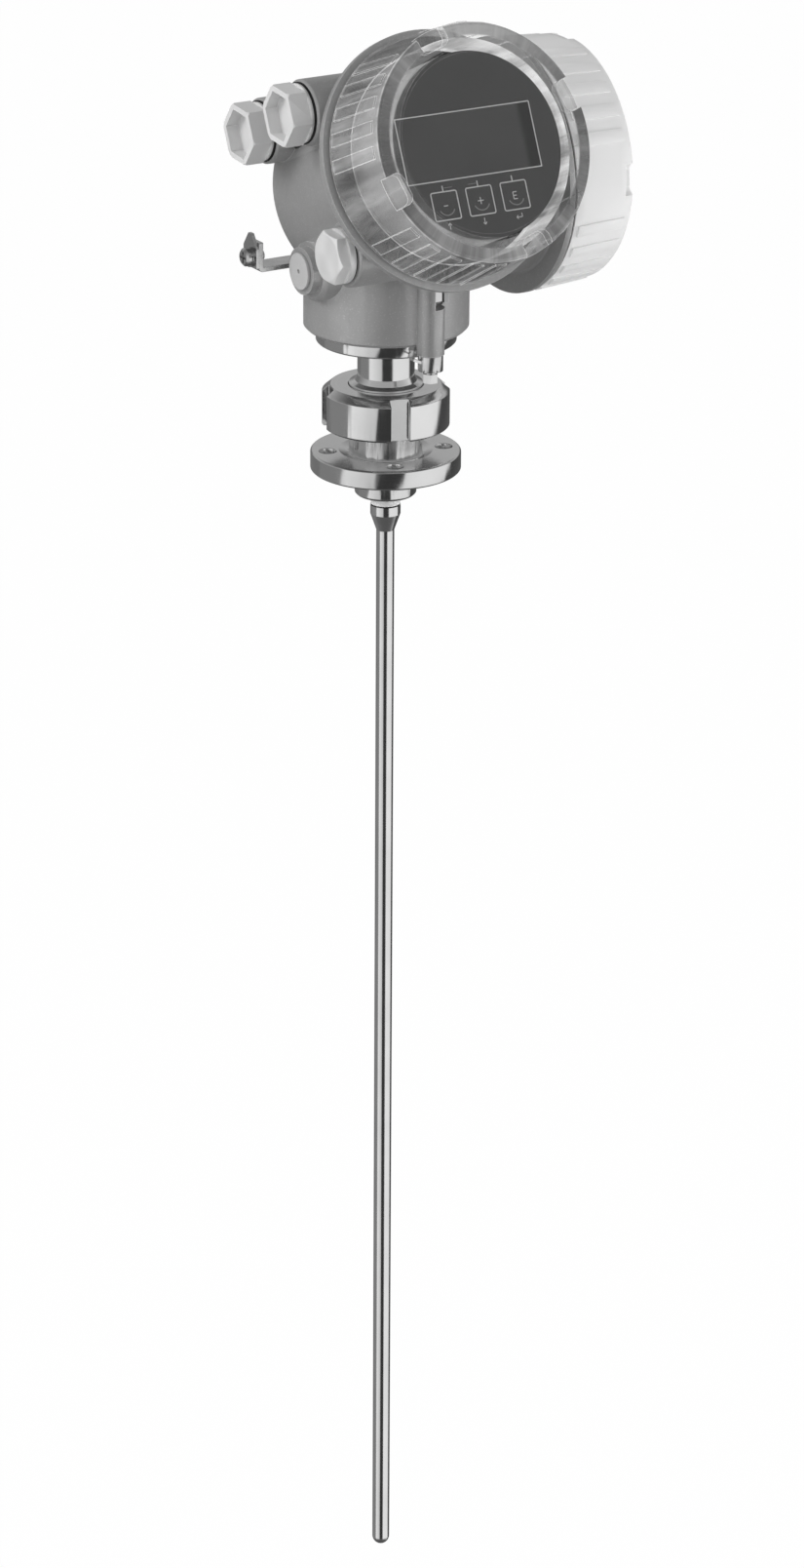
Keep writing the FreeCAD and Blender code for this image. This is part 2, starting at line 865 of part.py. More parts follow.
def terminal_block():
    return in_head(facing_right(turned_by(terminal_row(), V(0, 0, 1), 90), 0, side_axis_out))


def terminal_screws():
    """Row of slotted clamp screws."""
    base = side_room_start + terminal_plate_thickness + terminal_depth - 6
    screws = []
    for i in range(terminal_count):
        x = (i - (terminal_count - 1) / 2) * terminal_pitch
        head = moved(rod(terminal_screw_radius, base, base + 3), x, -6, 0)
        slot = block(x - 4, x + 4, -6 - terminal_slot_width / 2, -6 + terminal_slot_width / 2, base + 1.8, base + 4)
        screws.append(head.cut(slot))
    group = Part.makeCompound(screws)
    return in_head(facing_right(turned_by(group, V(0, 0, 1), 90), 0, side_axis_out))


# Plugs

def blanking_plug(out):
    """Moulded plug: hollow hexagonal head, collar and shank."""
    seat = port_boss_end + plug_gasket_thickness
    collar_top = seat + plug_collar_length
    head_top = collar_top + plug_hex_length
    head = hexagon(plug_across_flats, collar_top, head_top, 90)
    cone = turned([(0, collar_top - 1), (plug_across_flats / math.sqrt(3) + 0.1, collar_top - 1),
                   (plug_across_flats / math.sqrt(3) + 0.1, head_top - 1.2),
                   (plug_across_flats / math.sqrt(3) - 0.9, head_top), (0, head_top)])
    recess = hexagon(plug_across_flats - 2 * plug_wall, head_top - plug_recess_depth, head_top + 1, 90)
    collar = rod(plug_collar_radius, seat, collar_top)
    shank = rod(port_bore_radius, port_boss_end - plug_shank_length, seat)
    plug = head.common(cone).cut(recess).fuse([collar, shank])
    return in_head(facing_left(whole(plug), port_up, out))


def plug_gasket(out):
    gasket = ring(plug_collar_radius + 0.5, port_bore_radius, port_boss_end, port_boss_end + plug_gasket_thickness)
    return in_head(facing_left(gasket, port_up, out))


def vent_plug():
    """White breather plug with a small centre hole."""
    outline = [
        (vent_hole_radius, vent_ring_end - vent_shank_length),
        (vent_shank_radius, vent_ring_end - vent_shank_length),
        (vent_shank_radius, vent_ring_end),
        (vent_disc_radius, vent_ring_end),
        (vent_disc_radius, vent_ring_end + vent_disc_height),
        (vent_hole_radius, vent_ring_end + vent_disc_height),
    ]
    return in_head(facing_left(turned(outline), -port_up, port_back_out))


def screw_plug():
    """Metal plug with a chamfered hexagon head over a round collar."""
    seat = screw_boss_end + screw_plug_seal_thickness
    collar_top = seat + screw_plug_collar_length
    top = collar_top + screw_plug_hex_length
    corner = screw_plug_hex / math.sqrt(3)
    head = hexagon(screw_plug_hex, collar_top, top, 90)
    cone = turned([(0, collar_top), (corner, collar_top), (corner, top - 1.4), (corner - 2.4, top), (0, top)])
    collar = rod(screw_plug_collar_radius, seat, collar_top)
    shank = rod(port_bore_radius, screw_boss_end - screw_shank_length, seat)
    return in_head(facing_left(whole(head.common(cone).fuse([collar, shank])), -port_up, screw_port_out))


def screw_plug_seal():
    seal = ring(screw_plug_collar_radius - 0.4, port_bore_radius, screw_boss_end,
                screw_boss_end + screw_plug_seal_thickness)
    return in_head(facing_left(seal, -port_up, screw_port_out))


# Cover lock

def lock_clamp():
    """Clamp of the cover lock: claw above, shaft through the boss, sleeve and lug below."""
    shaft = rod(lock_bore_radius - running_play, lock_boss_bottom - 1, lock_claw_bottom + lock_claw_height)
    claw_side = lock_slot_side + 0.4
    claw_top = lock_claw_bottom + lock_claw_height
    arm = block(claw_side, claw_side + lock_claw_width, -lock_claw_reach, 0, lock_claw_bottom, claw_top)
    tooth = block(claw_side, claw_side + lock_claw_width, -lock_claw_reach, -lock_claw_reach + 2.2,
                  lock_claw_bottom - 1.6, claw_top)
    sleeve_top = lock_boss_bottom - 0.3
    bottom = sleeve_top - lock_sleeve_height
    sleeve = rod(lock_sleeve_radius, bottom, sleeve_top)
    socket = rod(lock_socket_radius, bottom - 1, bottom + lock_socket_depth)
    lug = block(-lock_sleeve_radius - lock_lug_reach, 0, -1.6, 1.6, -lock_lug_thickness, 0)
    lug = moved(turned_by(lug, V(0, 1, 0), lock_lug_slope), 0, 0, bottom + 3)
    notch = block(lock_sleeve_radius - 1.4, lock_sleeve_radius + 1, -lock_notch_width / 2, lock_notch_width / 2,
                  bottom - 1, bottom + lock_notch_height)
    clamp = shaft.fuse([arm, tooth, sleeve, lug]).cut([socket] + around_z(notch, 6, 30))
    return whole(moved(clamp, 0, lock_y, 0))


def lock_screw():
    """Hexagon screw under the clamp's sleeve."""
    top = lock_boss_bottom - 0.3 - lock_sleeve_height
    head = hexagon(lock_screw_flats, top - lock_screw_height, top, 0)
    groove = ring(lock_screw_flats, lock_screw_flats / 2 - 0.6, top - 1.6, top - 0.8)
    stem = rod(lock_socket_radius, top, top + lock_socket_depth)
    return whole(moved(head.cut(groove).fuse(stem), 0, lock_y, 0))


# Ground terminal

def ground_strap():
    """Strap from the casting's back, bent square at its end to face -X."""
    w = ground_strap_width / 2
    t = ground_strap_thickness
    arm = block(-ground_strap_end, ground_root_x(), ground_y - w, ground_y + w, ground_strap_z, ground_strap_z + t)
    tab = block(-ground_strap_end, -ground_strap_end + t, ground_y - w, ground_y + w, ground_strap_z, ground_up_z + 8)
    strap = arm.fuse(tab)
    bend = [e for e in strap.Edges if abs(e.CenterOfMass.x + ground_strap_end) < 0.01
            and abs(e.CenterOfMass.z - ground_strap_z) < 0.01]
    strap = strap.makeFillet(t * 0.9, bend)
    return whole(strap.cut(ground_hole()))


def ground_root_x():
    return -neck_drum_radius + ground_root_depth


def ground_seat():
    """Pocket of the strap in the casting's flank."""
    w = ground_strap_width / 2
    t = ground_strap_thickness
    return block(-ground_strap_end, ground_root_x(), ground_y - w, ground_y + w, ground_strap_z, ground_strap_z + t)


def ground_hole():
    radius = ground_screw_radius + running_play
    start = ground_strap_end - ground_hole_depth
    hole = turned_by(rod(radius, start, start + 3 * ground_hole_depth), V(0, 1, 0), -90)
    return moved(hole, 0, ground_y, ground_up_z)


def ground_clamp():
    """Clamp plate under the screw, with an upturned pointed tab."""
    x = -ground_strap_end
    t = ground_plate_thickness
    w = ground_strap_width / 2
    base = ground_up_z - 5
    outline = [V(x, ground_y - w, base), V(x, ground_y + w, base), V(x, ground_y + w, ground_up_z + 5),
               V(x, ground_y + 1.5, ground_up_z + ground_plate_height - 5),
               V(x, ground_y - 1.5, ground_up_z + ground_plate_height - 5),
               V(x, ground_y - w, ground_up_z + 5)]
    plate = Part.Face(Part.makePolygon(outline + [outline[0]])).extrude(V(-t, 0, 0))
    return plate.cut(ground_hole())


def ground_washer():
    washer = ring(ground_washer_radius, ground_screw_radius, 0, ground_washer_thickness)
    face = ground_strap_end + ground_plate_thickness
    return moved(turned_by(moved(washer, 0, 0, face), V(0, 1, 0), -90), 0, ground_y, ground_up_z)


def ground_screw():
    """Pan-head cross-recess screw."""
    face = ground_strap_end + ground_plate_thickness + ground_washer_thickness
    head = turned([(0, face), (ground_head_radius, face), (ground_head_radius, face + ground_head_height - 1),
                   (ground_head_radius - 1, face + ground_head_height), (0, face + ground_head_height)])
    bar = block(-0.6, 0.6, -2.8, 2.8, face + ground_head_height - 1.6, face + ground_head_height + 1)
    shank = rod(ground_screw_radius, ground_strap_end - ground_strap_thickness - 3, face)
    screw = head.fuse(shank).cut([bar, turned_by(bar, V(0, 0, 1), 90)])
    return whole(moved(turned_by(screw, V(0, 1, 0), -90), 0, ground_y, ground_up_z))


PARTS = {
    "process_flange": process_flange,
    "union_nut": union_nut,
    "coupling_seal": coupling_seal,
    "neck_tube": neck_tube,
    "adapter_ring": adapter_ring,
    "retaining_ring": retaining_ring,
    "probe_insulator": probe_insulator,
    "probe_seal": probe_seal,
    "probe_rod": probe_rod,
    "glass_feedthrough": glass_feedthrough,
    "signal_lead": signal_lead,
    "housing": housing,
    "display_cover": display_cover,
    "display_cover_seal": display_cover_seal,
    "terminal_cover": terminal_cover,
    "terminal_cover_seal": terminal_cover_seal,
    "display_panel": display_panel,
    "lcd_module": lcd_module,
    "display_carrier": display_carrier,
    "display_board": display_board,
    "electronics_module": electronics_module,
    "terminal_plate": terminal_plate,
    "terminal_block": terminal_block,
    "terminal_screws": terminal_screws,
    "blanking_plug_front": lambda: blanking_plug(port_front_out),
    "blanking_plug_rear": lambda: blanking_plug(port_back_out),
    "plug_gasket_front": lambda: plug_gasket(port_front_out),
    "plug_gasket_rear": lambda: plug_gasket(port_back_out),
    "vent_plug": vent_plug,
    "screw_plug": screw_plug,
    "screw_plug_seal": screw_plug_seal,
    "lock_clamp": lock_clamp,
    "lock_screw": lock_screw,
    "ground_strap": ground_strap,
    "ground_clamp": ground_clamp,
    "ground_washer": ground_washer,
    "ground_screw": ground_screw,
}

os.makedirs("parts", exist_ok=True)
for node, build in PARTS.items():
    build().exportStep("parts/" + node + ".step")
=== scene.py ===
"""Looks of the guided wave radar level transmitter.

Finishes for the CAD pieces, the printed display, shaded threads, and the white studio of the photograph.
"""
import math

import bpy
from mathutils import Matrix, Vector


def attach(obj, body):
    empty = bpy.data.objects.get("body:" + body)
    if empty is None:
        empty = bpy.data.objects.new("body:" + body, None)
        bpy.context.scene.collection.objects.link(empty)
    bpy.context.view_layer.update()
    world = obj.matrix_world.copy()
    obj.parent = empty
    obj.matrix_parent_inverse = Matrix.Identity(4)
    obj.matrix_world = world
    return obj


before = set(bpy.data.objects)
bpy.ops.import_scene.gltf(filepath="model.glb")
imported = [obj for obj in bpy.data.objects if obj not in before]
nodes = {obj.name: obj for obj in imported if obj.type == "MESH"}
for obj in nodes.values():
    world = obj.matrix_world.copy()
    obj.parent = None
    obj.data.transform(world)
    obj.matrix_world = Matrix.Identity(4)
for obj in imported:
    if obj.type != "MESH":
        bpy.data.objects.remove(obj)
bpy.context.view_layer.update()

# Lengths in metres, angles in degrees
MM = 0.001

# Head frame: X stays, "up" runs along the display's face, "out" along its axis
HEAD_LEAN = 24.3
HEAD_HEIGHT = 147.6 * MM

# Threads, which are shading only: on the hubs and in the mouths of both drums
THREAD_RADIUS = 50.2 * MM
THREAD_PITCH = 2.0 * MM
THREAD_NEAR = 0.35 * MM
THREAD_DEPTH = 0.35 * MM
CLEAR_THREAD_DEPTH = 0.3 * MM
DISPLAY_THREAD_FROM = 47.0 * MM
SIDE_THREAD_FROM = 60.0 * MM

# Widths of the painted edge highlights, and how many display levels lighter they are
COATED_HIGHLIGHT_WIDTH = 0.5 * MM
MOULDED_HIGHLIGHT_WIDTH = 0.45 * MM
COATED_EDGE_HIGHLIGHT = 65
MOULDED_EDGE_HIGHLIGHT = 30
PALEST = 252

# Rounds on the casting, the metal and the plastic pieces
ROUND_SEGMENTS = 2
ROUND_FROM_ANGLE = 30.0
WELD_DISTANCE = 0.002 * MM

# Display plane
DISPLAY_FACE = 92.75 * MM
PRINT_STAND = 0.06 * MM
PRINT_MIDDLE = DISPLAY_FACE + PRINT_STAND / 2

# Screw plug's axis in the head frame
SCREW_PLUG_UP = -35.4 * MM
SCREW_PLUG_OUT = 30.0 * MM

# Clear cover's zones: distances out along the head's axis, then radii around it
HUB_END = 62.2 * MM
WALL_END = 94.5 * MM
NOTCH_FLOOR = 95.0 * MM
FACE_OUT = 99.2 * MM
FACE_INNER = 46.3 * MM
FACE_MIDDLE = 51.6 * MM
FACE_OUTER = 56.8 * MM
WALL_INNER = 47.0 * MM
WALL_OUTER = 53.6 * MM
CLEAR_GREY = 0.04
CLEAR_HAZE = 0.03

# Printed front plate
LCD_FRAME = (75.0 * MM, 31.9 * MM)
LCD_FRAME_AT = (-4.9 * MM, 1.5 * MM)
KEY_SIZE = (14.2 * MM, 13.6 * MM)
KEY_CORNER = 0.9 * MM
LCD_CORNER = 0.3 * MM
KEY_PITCH = 19.4 * MM
KEY_MIDDLE = (-4.8 * MM, -26.5 * MM)
LINE_WIDTH = 0.6 * MM
TICK_LENGTH = 2.9 * MM
BRACKET_LINE = LINE_WIDTH * 0.5
BRACKET_HALF_GAP = 4.4 * MM
BRACKET_RISE = TICK_LENGTH * 0.6
SIGN_LINE = 0.45 * MM
ARROW_LINE = 0.4 * MM
PANE_STAND = PRINT_STAND * 0.6
CRESCENT_RADIUS = 4.4 * MM
CRESCENT_SHIFT = (0.3 * MM, -0.2 * MM)
CRESCENT_START = 205
CRESCENT_SWEEP = 130
ARROW_BELOW = 10.0 * MM
LCD_DARK_END = 28.0 * MM

# Camera, fitted to the photograph
CAMERA_DISTANCE = 2620.0 * MM
CAMERA_AZIMUTH = -31.08
CAMERA_PITCH = 21.6
CAMERA_ROLL = 0.34
CAMERA_ASIDE = 9.22 * MM
CAMERA_BELOW = 159.36 * MM
CAMERA_LENS = 119.44
CAMERA_SENSOR = 36.0
CAMERA_FAR = 50.0

# Studio
FLOOR_HEIGHT = -900.0 * MM
FLOOR_SIZE = 60.0
FLOOR_GREY = 0.85
FLOOR_WHITE_SHARE = 0.985
SOFT_LIGHT = 0.42
SEEN_THROUGH_CLEAR = 0.9
LAMP_AIM = (0.0, 0.0, 0.1)

# Each lamp: name, place, width and height, watts
LAMPS = [
    ("key_lamp", (-2.6, 1.1, 1.5), (1.4, 1.6), 60.0),
    ("front_lamp", (-2.2, -2.0, 1.5), (1.2, 1.4), 26.0),
    ("side_lamp", (2.6, -1.3, -0.3), (0.9, 1.8), 56.0)]


class Shade:
    """A shader socket that takes part in Python expressions."""

    def __init__(self, tree, socket):
        self.tree = tree
        self.socket = socket

    def math(self, operation, *others):
        values = [self] + list(others)
        return add_node(self.tree, "ShaderNodeMath", {"operation": operation}, dict(enumerate(values)))

    def __add__(self, other):
        return self.math("ADD", other)

    __radd__ = __add__

    def __mul__(self, other):
        return self.math("MULTIPLY", other)

    __rmul__ = __mul__

    def __sub__(self, other):
        return self.math("SUBTRACT", other)

    def __rsub__(self, other):
        return (self * -1.0) + other

    def __truediv__(self, other):
        return self.math("DIVIDE", other)

    def __pow__(self, other):
        return self.math("POWER", other)

    def __gt__(self, other):
        return self.math("GREATER_THAN", other)

    def __lt__(self, other):
        return self.math("LESS_THAN", other)


def add_node(tree, kind, settings=None, inputs=None, output=0):
    """Adds a node: settings first, then values or links on its sockets."""
    node = tree.nodes.new(kind)
    for name, value in (settings or {}).items():
        if name == "stops":
            set_stops(node.color_ramp, value)
        else:
            setattr(node, name, value)
    for key, value in (inputs or {}).items():
        if isinstance(value, Shade):
            tree.links.new(value.socket, node.inputs[key])
        elif value is not None:
            node.inputs[key].default_value = value
    return Shade(tree, node.outputs[output]) if len(node.outputs) else node


def set_stops(ramp, stops):
    while len(ramp.elements) > 1:
        ramp.elements.remove(ramp.elements[-1])
    ramp.elements[0].position = stops[0][0]
    ramp.elements[0].color = grey(stops[0][1])
    for place, value in stops[1:]:
        ramp.elements.new(place).color = grey(value)


def grey(value):
    return (value, value, value, 1.0)


def photo_grey(level):
    """Linear grey of an 8-bit display level."""
    part = level / 255.0
    return part / 12.92 if part <= 0.04045 else ((part + 0.055) / 1.055) ** 2.4


# Finishes

def new_material(name):
    material = bpy.data.materials.new(name)
    material.use_nodes = True
    material.node_tree.nodes.clear()
    return material, material.node_tree


def surface(tree, **inputs):
    """Principled shader on the material's output; an underscore in a name stands for a space."""
    sockets = {name.replace("_", " "): value for name, value in inputs.items()}
    shader = add_node(tree, "ShaderNodeBsdfPrincipled", None, sockets)
    add_node(tree, "ShaderNodeOutputMaterial", None, {"Surface": shader})


def object_place(tree):
    return add_node(tree, "ShaderNodeTexCoord", output=3)


def noise(tree, place, scale, detail=2.0, roughness=0.5):
    return add_node(tree, "ShaderNodeTexNoise", None,
                    {"Vector": place, "Scale": scale, "Detail": detail, "Roughness": roughness})


def spread(value, low, high, new_low, new_high):
    """Map range from low..high to new_low..new_high."""
    inputs = {"Value": value, "From Min": low, "From Max": high, "To Min": new_low, "To Max": new_high}
    return add_node(value.tree, "ShaderNodeMapRange", None, inputs)


def mix_colours(tree, factor, first, second):
    inputs = {0: factor, 6: first, 7: second}
    return add_node(tree, "ShaderNodeMix", {"data_type": "RGBA"}, inputs, output=2)


def mix_levels(factor, first, second):
    """Grey between two 8-bit display levels."""
    return mix_colours(factor.tree, factor, grey(photo_grey(first)), grey(photo_grey(second)))


def clouded(cloud, first, second, low=0.3, high=0.7):
    """Grey that drifts between two display levels with a noise."""
    return mix_levels(spread(cloud, low, high, 0.0, 1.0), first, second)


def rough_grain(grain, roughness, least, most):
    """Roughness that varies with a noise between two shares of its mean."""
    return spread(grain, 0.3, 0.7, roughness * least, roughness * most)


def mix_values(factor, first, second):
    """First where the factor is 0, second where it is 1."""
    return factor * second + (1.0 - factor) * first


def bump(height, distance, strength=1.0, normal=None):
    inputs = {"Height": height, "Distance": distance, "Strength": strength, "Normal": normal}
    return add_node(height.tree, "ShaderNodeBump", None, inputs)


def split(place):
    """The x, y and z of a vector socket."""
    node = place.tree.nodes.new("ShaderNodeSeparateXYZ")
    place.tree.links.new(place.socket, node.inputs[0])
    return [Shade(place.tree, socket) for socket in node.outputs]


def head_place(tree):
    """Object coordinates turned into the head's own frame: x, up and out."""
    turned = add_node(tree, "ShaderNodeMapping", {"vector_type": "TEXTURE"},
                      {"Vector": object_place(tree), "Location": (0, 0, HEAD_HEIGHT),
                       "Rotation": (math.radians(90 - HEAD_LEAN), 0, 0)})
    return split(turned)


def radius_of(first, second):
    return (first * first + second * second) ** 0.5


def thread_height(tree):
    """Thread turns on the covers' hubs and in the drums' mouths, around both head axes."""
    across, up, out = head_place(tree)
    around_display = radius_of(across, up)
    around_side = radius_of(up, out)
    on_display = (around_display - THREAD_RADIUS).math("ABSOLUTE") < THREAD_NEAR
    on_side = (around_side - THREAD_RADIUS).math("ABSOLUTE") < THREAD_NEAR
    display_mask = on_display * (out > DISPLAY_THREAD_FROM)
    side_mask = on_side * (across > SIDE_THREAD_FROM)
    along = display_mask * out + side_mask * across
    turns = (along * (2 * math.pi / THREAD_PITCH)).math("SINE")
    return turns * (display_mask + side_mask)


def smooth_step(value, low, high):
    inputs = {"Value": value, "From Min": low, "From Max": high}
    return add_node(value.tree, "ShaderNodeMapRange", {"interpolation_type": "SMOOTHSTEP"}, inputs)


def edge_mask(tree, width):
    """One along the edges where a piece's faces meet, fading out at that width."""
    rounded = add_node(tree, "ShaderNodeBevel", {"samples": 6}, {"Radius": width})
    flat = add_node(tree, "ShaderNodeNewGeometry", output=3)
    bend = add_node(tree, "ShaderNodeVectorMath", {"operation": "DOT_PRODUCT"},
                    {0: rounded, 1: flat}, output=1)
    return smooth_step(1.0 - bend, 0.04, 0.2)


def powder_coat(name, level):
    """Powder-coated casting: fine orange peel, sparse light specks, painted highlights along its edges,
    threads in the mouths.
    """
    material, tree = new_material(name)
    place = object_place(tree)
    speck = noise(tree, place, 1500.0, 1.0) > 0.66
    cloud = noise(tree, place, 18.0, 3.0)
    tone = clouded(cloud, level - 3, level + 3)
    # Sparse light specks of the coat, plus painted highlights where the casting's faces meet
    light = (speck * 0.25 + edge_mask(tree, COATED_HIGHLIGHT_WIDTH) * 0.8).math("MINIMUM", 1.0)
    colour = mix_colours(tree, light, tone, grey(photo_grey(level + COATED_EDGE_HIGHLIGHT)))
    peel = bump(noise(tree, place, 900.0), 0.05 * MM, 0.55)
    normal = bump(thread_height(tree), THREAD_DEPTH, 1.0, peel)
    rough = spread(noise(tree, place, 300.0), 0.3, 0.7, 0.36, 0.48)
    surface(tree, Base_Color=colour, Roughness=rough, Normal=normal, Metallic=0.5)
    return material


def turned_rings(tree, around, along, scale):
    """Noise in fine rings around an axis, as a lathe leaves them."""
    rings = add_node(tree, "ShaderNodeCombineXYZ", None, {0: around, 1: along, 2: 0.0})
    return noise(tree, rings, scale)


def turned_steel(name, level, roughness):
    """Stainless steel from the lathe: fine rings around the probe's axis."""
    material, tree = new_material(name)
    across, deep, high = split(object_place(tree))
    lines = turned_rings(tree, radius_of(across, deep), high, 2600.0)
    colour = clouded(noise(tree, object_place(tree), 45.0, 3.0), level - 8, level)
    rough = rough_grain(lines, roughness, 0.8, 1.3)
    surface(tree, Base_Color=colour, Metallic=1.0, Roughness=rough, Normal=bump(lines, 0.02 * MM, 0.6))
    return material


def plated_metal(name, level, roughness):
    """Plated or pressed small metal parts with faint marks."""
    material, tree = new_material(name)
    place = object_place(tree)
    marks = noise(tree, place, 220.0)
    colour = clouded(noise(tree, place, 90.0), level - 12, level, 0.35, 0.65)
    rough = rough_grain(marks, roughness, 0.85, 1.2)
    surface(tree, Base_Color=colour, Metallic=1.0, Roughness=rough, Normal=bump(marks, 0.002 * MM, 0.2))
    return material


def turned_plate(name, level, roughness, up, out):
    """Machined face around a port's axis: fine rings that spread the light."""
    material, tree = new_material(name)
    place = head_place(tree)
    lines = turned_rings(tree, radius_of(place[1] - up, place[2] - out), place[0], 2200.0)
    colour = clouded(noise(tree, object_place(tree), 60.0, 1.0), level - 22, level)
    rough = rough_grain(lines, roughness, 0.8, 1.2)
    surface(tree, Base_Color=colour, Metallic=0.4, Roughness=rough, Normal=bump(lines, 0.015 * MM, 0.5))
    return material


def moulded_plastic(name, level, roughness):
    """Opaque moulded plastic with a fine eroded grain and painted highlights along its edges."""
    material, tree = new_material(name)
    place = object_place(tree)
    grain = noise(tree, place, 1800.0)
    tone = noise(tree, place, 25.0)
    plain = spread(tone, 0.3, 0.7, photo_grey(level - 3), photo_grey(level + 2))
    # Painted highlights: paler grey along the edges where faces meet
    edge_highlight_grey = photo_grey(min(level + MOULDED_EDGE_HIGHLIGHT, PALEST))
    colour = mix_values(edge_mask(tree, MOULDED_HIGHLIGHT_WIDTH) * 0.7, plain, edge_highlight_grey)
    rough = rough_grain(grain, roughness, 0.85, 1.2)
    normal = bump(thread_height(tree), THREAD_DEPTH, 1.0, bump(grain, 0.02 * MM, 0.5))
    surface(tree, Base_Color=colour, Roughness=rough, Normal=normal)
    return material


def clear_polycarbonate(name):
    """Clear cover: see-through window, an inner wall with a painted glow, a face ring with painted shade, a
    side with painted reflection streaks, painted highlights along the edges.
    """
    material, tree = new_material(name)
    across, up, out = head_place(tree)
    around = radius_of(across, up)
    # Painted reflection streaks: a noise that changes around the axis and slowly along it
    direction = add_node(tree, "ShaderNodeCombineXYZ", None,
                         {0: across / around, 1: up / around, 2: out * 3.0})
    painted_streak = noise(tree, direction, 4.0, 4.0, 0.65)
    seen_from_back = add_node(tree, "ShaderNodeNewGeometry", output=6)
    shadow_ray = add_node(tree, "ShaderNodeLightPath", output=1)
    on_face = smooth_step(out, FACE_OUT - 0.6 * MM, FACE_OUT + 0.6 * MM)
    beyond_window = smooth_step(around, FACE_INNER - 0.4 * MM, FACE_INNER)
    face_ring = on_face * smooth_step(around, FACE_MIDDLE - 0.8 * MM, FACE_MIDDLE + 0.8 * MM)
    face_inside = on_face * beyond_window * (1.0 - face_ring)
    side = smooth_step(around, FACE_OUTER - 0.4 * MM, FACE_OUTER + 0.4 * MM) * (1.0 - on_face)
    notch = beyond_window * (out > NOTCH_FLOOR) * (1.0 - on_face) * (1.0 - side)
    inner_wall = (around > WALL_INNER) * (around < WALL_OUTER) * (out < WALL_END) * (out > HUB_END)
    edge = edge_mask(tree, MOULDED_HIGHLIGHT_WIDTH)
    flow = noise(tree, object_place(tree), 40.0)
    normal = bump(thread_height(tree), CLEAR_THREAD_DEPTH, 1.0, bump(flow, 0.03 * MM, 0.3))
    turn_away = add_node(tree, "ShaderNodeLayerWeight", None, {"Blend": 0.3, "Normal": normal}, output=1)
    # Painted shade on the face ring: darker at its left and right sides, lighter at top and bottom
    ring_painted_shade = (up / around) ** 2.0 * 0.26 + 0.03
    # Each zone's grey, and how much of what lies behind it hides; the face ring's grey is painted shade, and
    # the inner wall's pale grey goes with its painted glow
    zones = [
        (face_ring, ring_painted_shade, 0.84),
        (face_inside, 0.5, 0.06),
        (side, 0.36, 0.4),
        (notch, 0.5, 0.3),
        (inner_wall, 0.9, 0.8)]
    level = sum(zone * zone_grey for zone, zone_grey, hides in zones) + CLEAR_GREY
    # Zone greys with the painted reflection streaks, kept below 0.9
    shade = (level * spread(painted_streak, 0.35, 0.65, 0.6, 1.5)).math("MINIMUM", 0.9)
    # Painted sheen: the cover turns more opaque, showing its pale grey, at grazing angles
    body = sum((zone * hides for zone, zone_grey, hides in zones), CLEAR_HAZE) + turn_away ** 3.0 * 0.25
    body = body * spread(painted_streak, 0.3, 0.7, 0.8, 1.2) * (1.0 - seen_from_back * 0.85)
    outside = ((around > WALL_OUTER + 0.6 * MM) + (out > WALL_END)).math("MINIMUM", 1.0)
    # Painted highlights along the outer edges, weaker on faces seen from behind
    painted_edge_highlight = edge * outside * (1.0 - seen_from_back * 0.6)
    colour = mix_values(painted_edge_highlight, shade, 0.95)
    factor = (body + painted_edge_highlight * 0.8).math("MINIMUM", 0.95) * (1.0 - shadow_ray)
    # Painted glow: the inner wall and the edge highlights emit light though they are no lamp
    painted_glow = inner_wall * spread(painted_streak, 0.35, 0.65, 0.14, 0.58) + painted_edge_highlight * 0.35
    inside = add_node(tree, "ShaderNodeBsdfTransparent", None, {"Color": grey(0.97)})
    gloss = add_node(tree, "ShaderNodeBsdfPrincipled", None,
                     {"Base Color": colour, "Roughness": 0.05, "IOR": 1.5, "Coat Weight": 0.5,
                      "Coat Roughness": 0.03, "Emission Color": painted_glow, "Emission Strength": 1.0,
                      "Normal": normal})
    mixed = add_node(tree, "ShaderNodeMixShader", None, {0: factor, 1: inside, 2: gloss})
    add_node(tree, "ShaderNodeOutputMaterial", None, {"Surface": mixed})
    return material


def rubber(name):
    """Black seal rubber, dull with a fine grain."""
    material, tree = new_material(name)
    grain = noise(tree, object_place(tree), 1200.0)
    surface(tree, Base_Color=mix_levels(grain, 20, 34),
            Roughness=spread(grain, 0.3, 0.7, 0.55, 0.8), Normal=bump(grain, 0.02 * MM, 0.5))
    return material


def printed_foil(name, level):
    """Charcoal front foil with a fine matt texture."""
    material, tree = new_material(name)
    grain = noise(tree, object_place(tree), 2500.0, 1.0)
    surface(tree, Base_Color=mix_levels(grain, level - 4, level + 4),
            Roughness=spread(grain, 0.3, 0.7, 0.42, 0.55), Normal=bump(grain, 0.008 * MM, 0.4))
    return material


def display_glass(name):
    """Pane of the display: pale haze of the switched-off crystal, darker at its right end."""
    material, tree = new_material(name)
    across = head_place(tree)[0]
    crystal = smooth_step(across, LCD_DARK_END, LCD_DARK_END - 4.0 * MM)
    cloud = noise(tree, object_place(tree), 30.0, 1.0)
    haze = crystal * spread(cloud, 0.3, 0.7, 0.75, 1.0)
    surface(tree, Base_Color=mix_levels(haze, 60, 86), Roughness=0.3)
    return material


def flat_ink(name, level):
    """Screen-printed ink with faint mottling."""
    material, tree = new_material(name)
    grain = noise(tree, object_place(tree), 3000.0, 1.0)
    surface(tree, Base_Color=mix_levels(grain, level - 8, level + 6), Roughness=0.5)
    return material


def assign(node, material):
    mesh = nodes[node].data
    mesh.materials.clear()
    mesh.materials.append(material)
    for polygon in mesh.polygons:
        polygon.material_index = 0


# Shape finishing

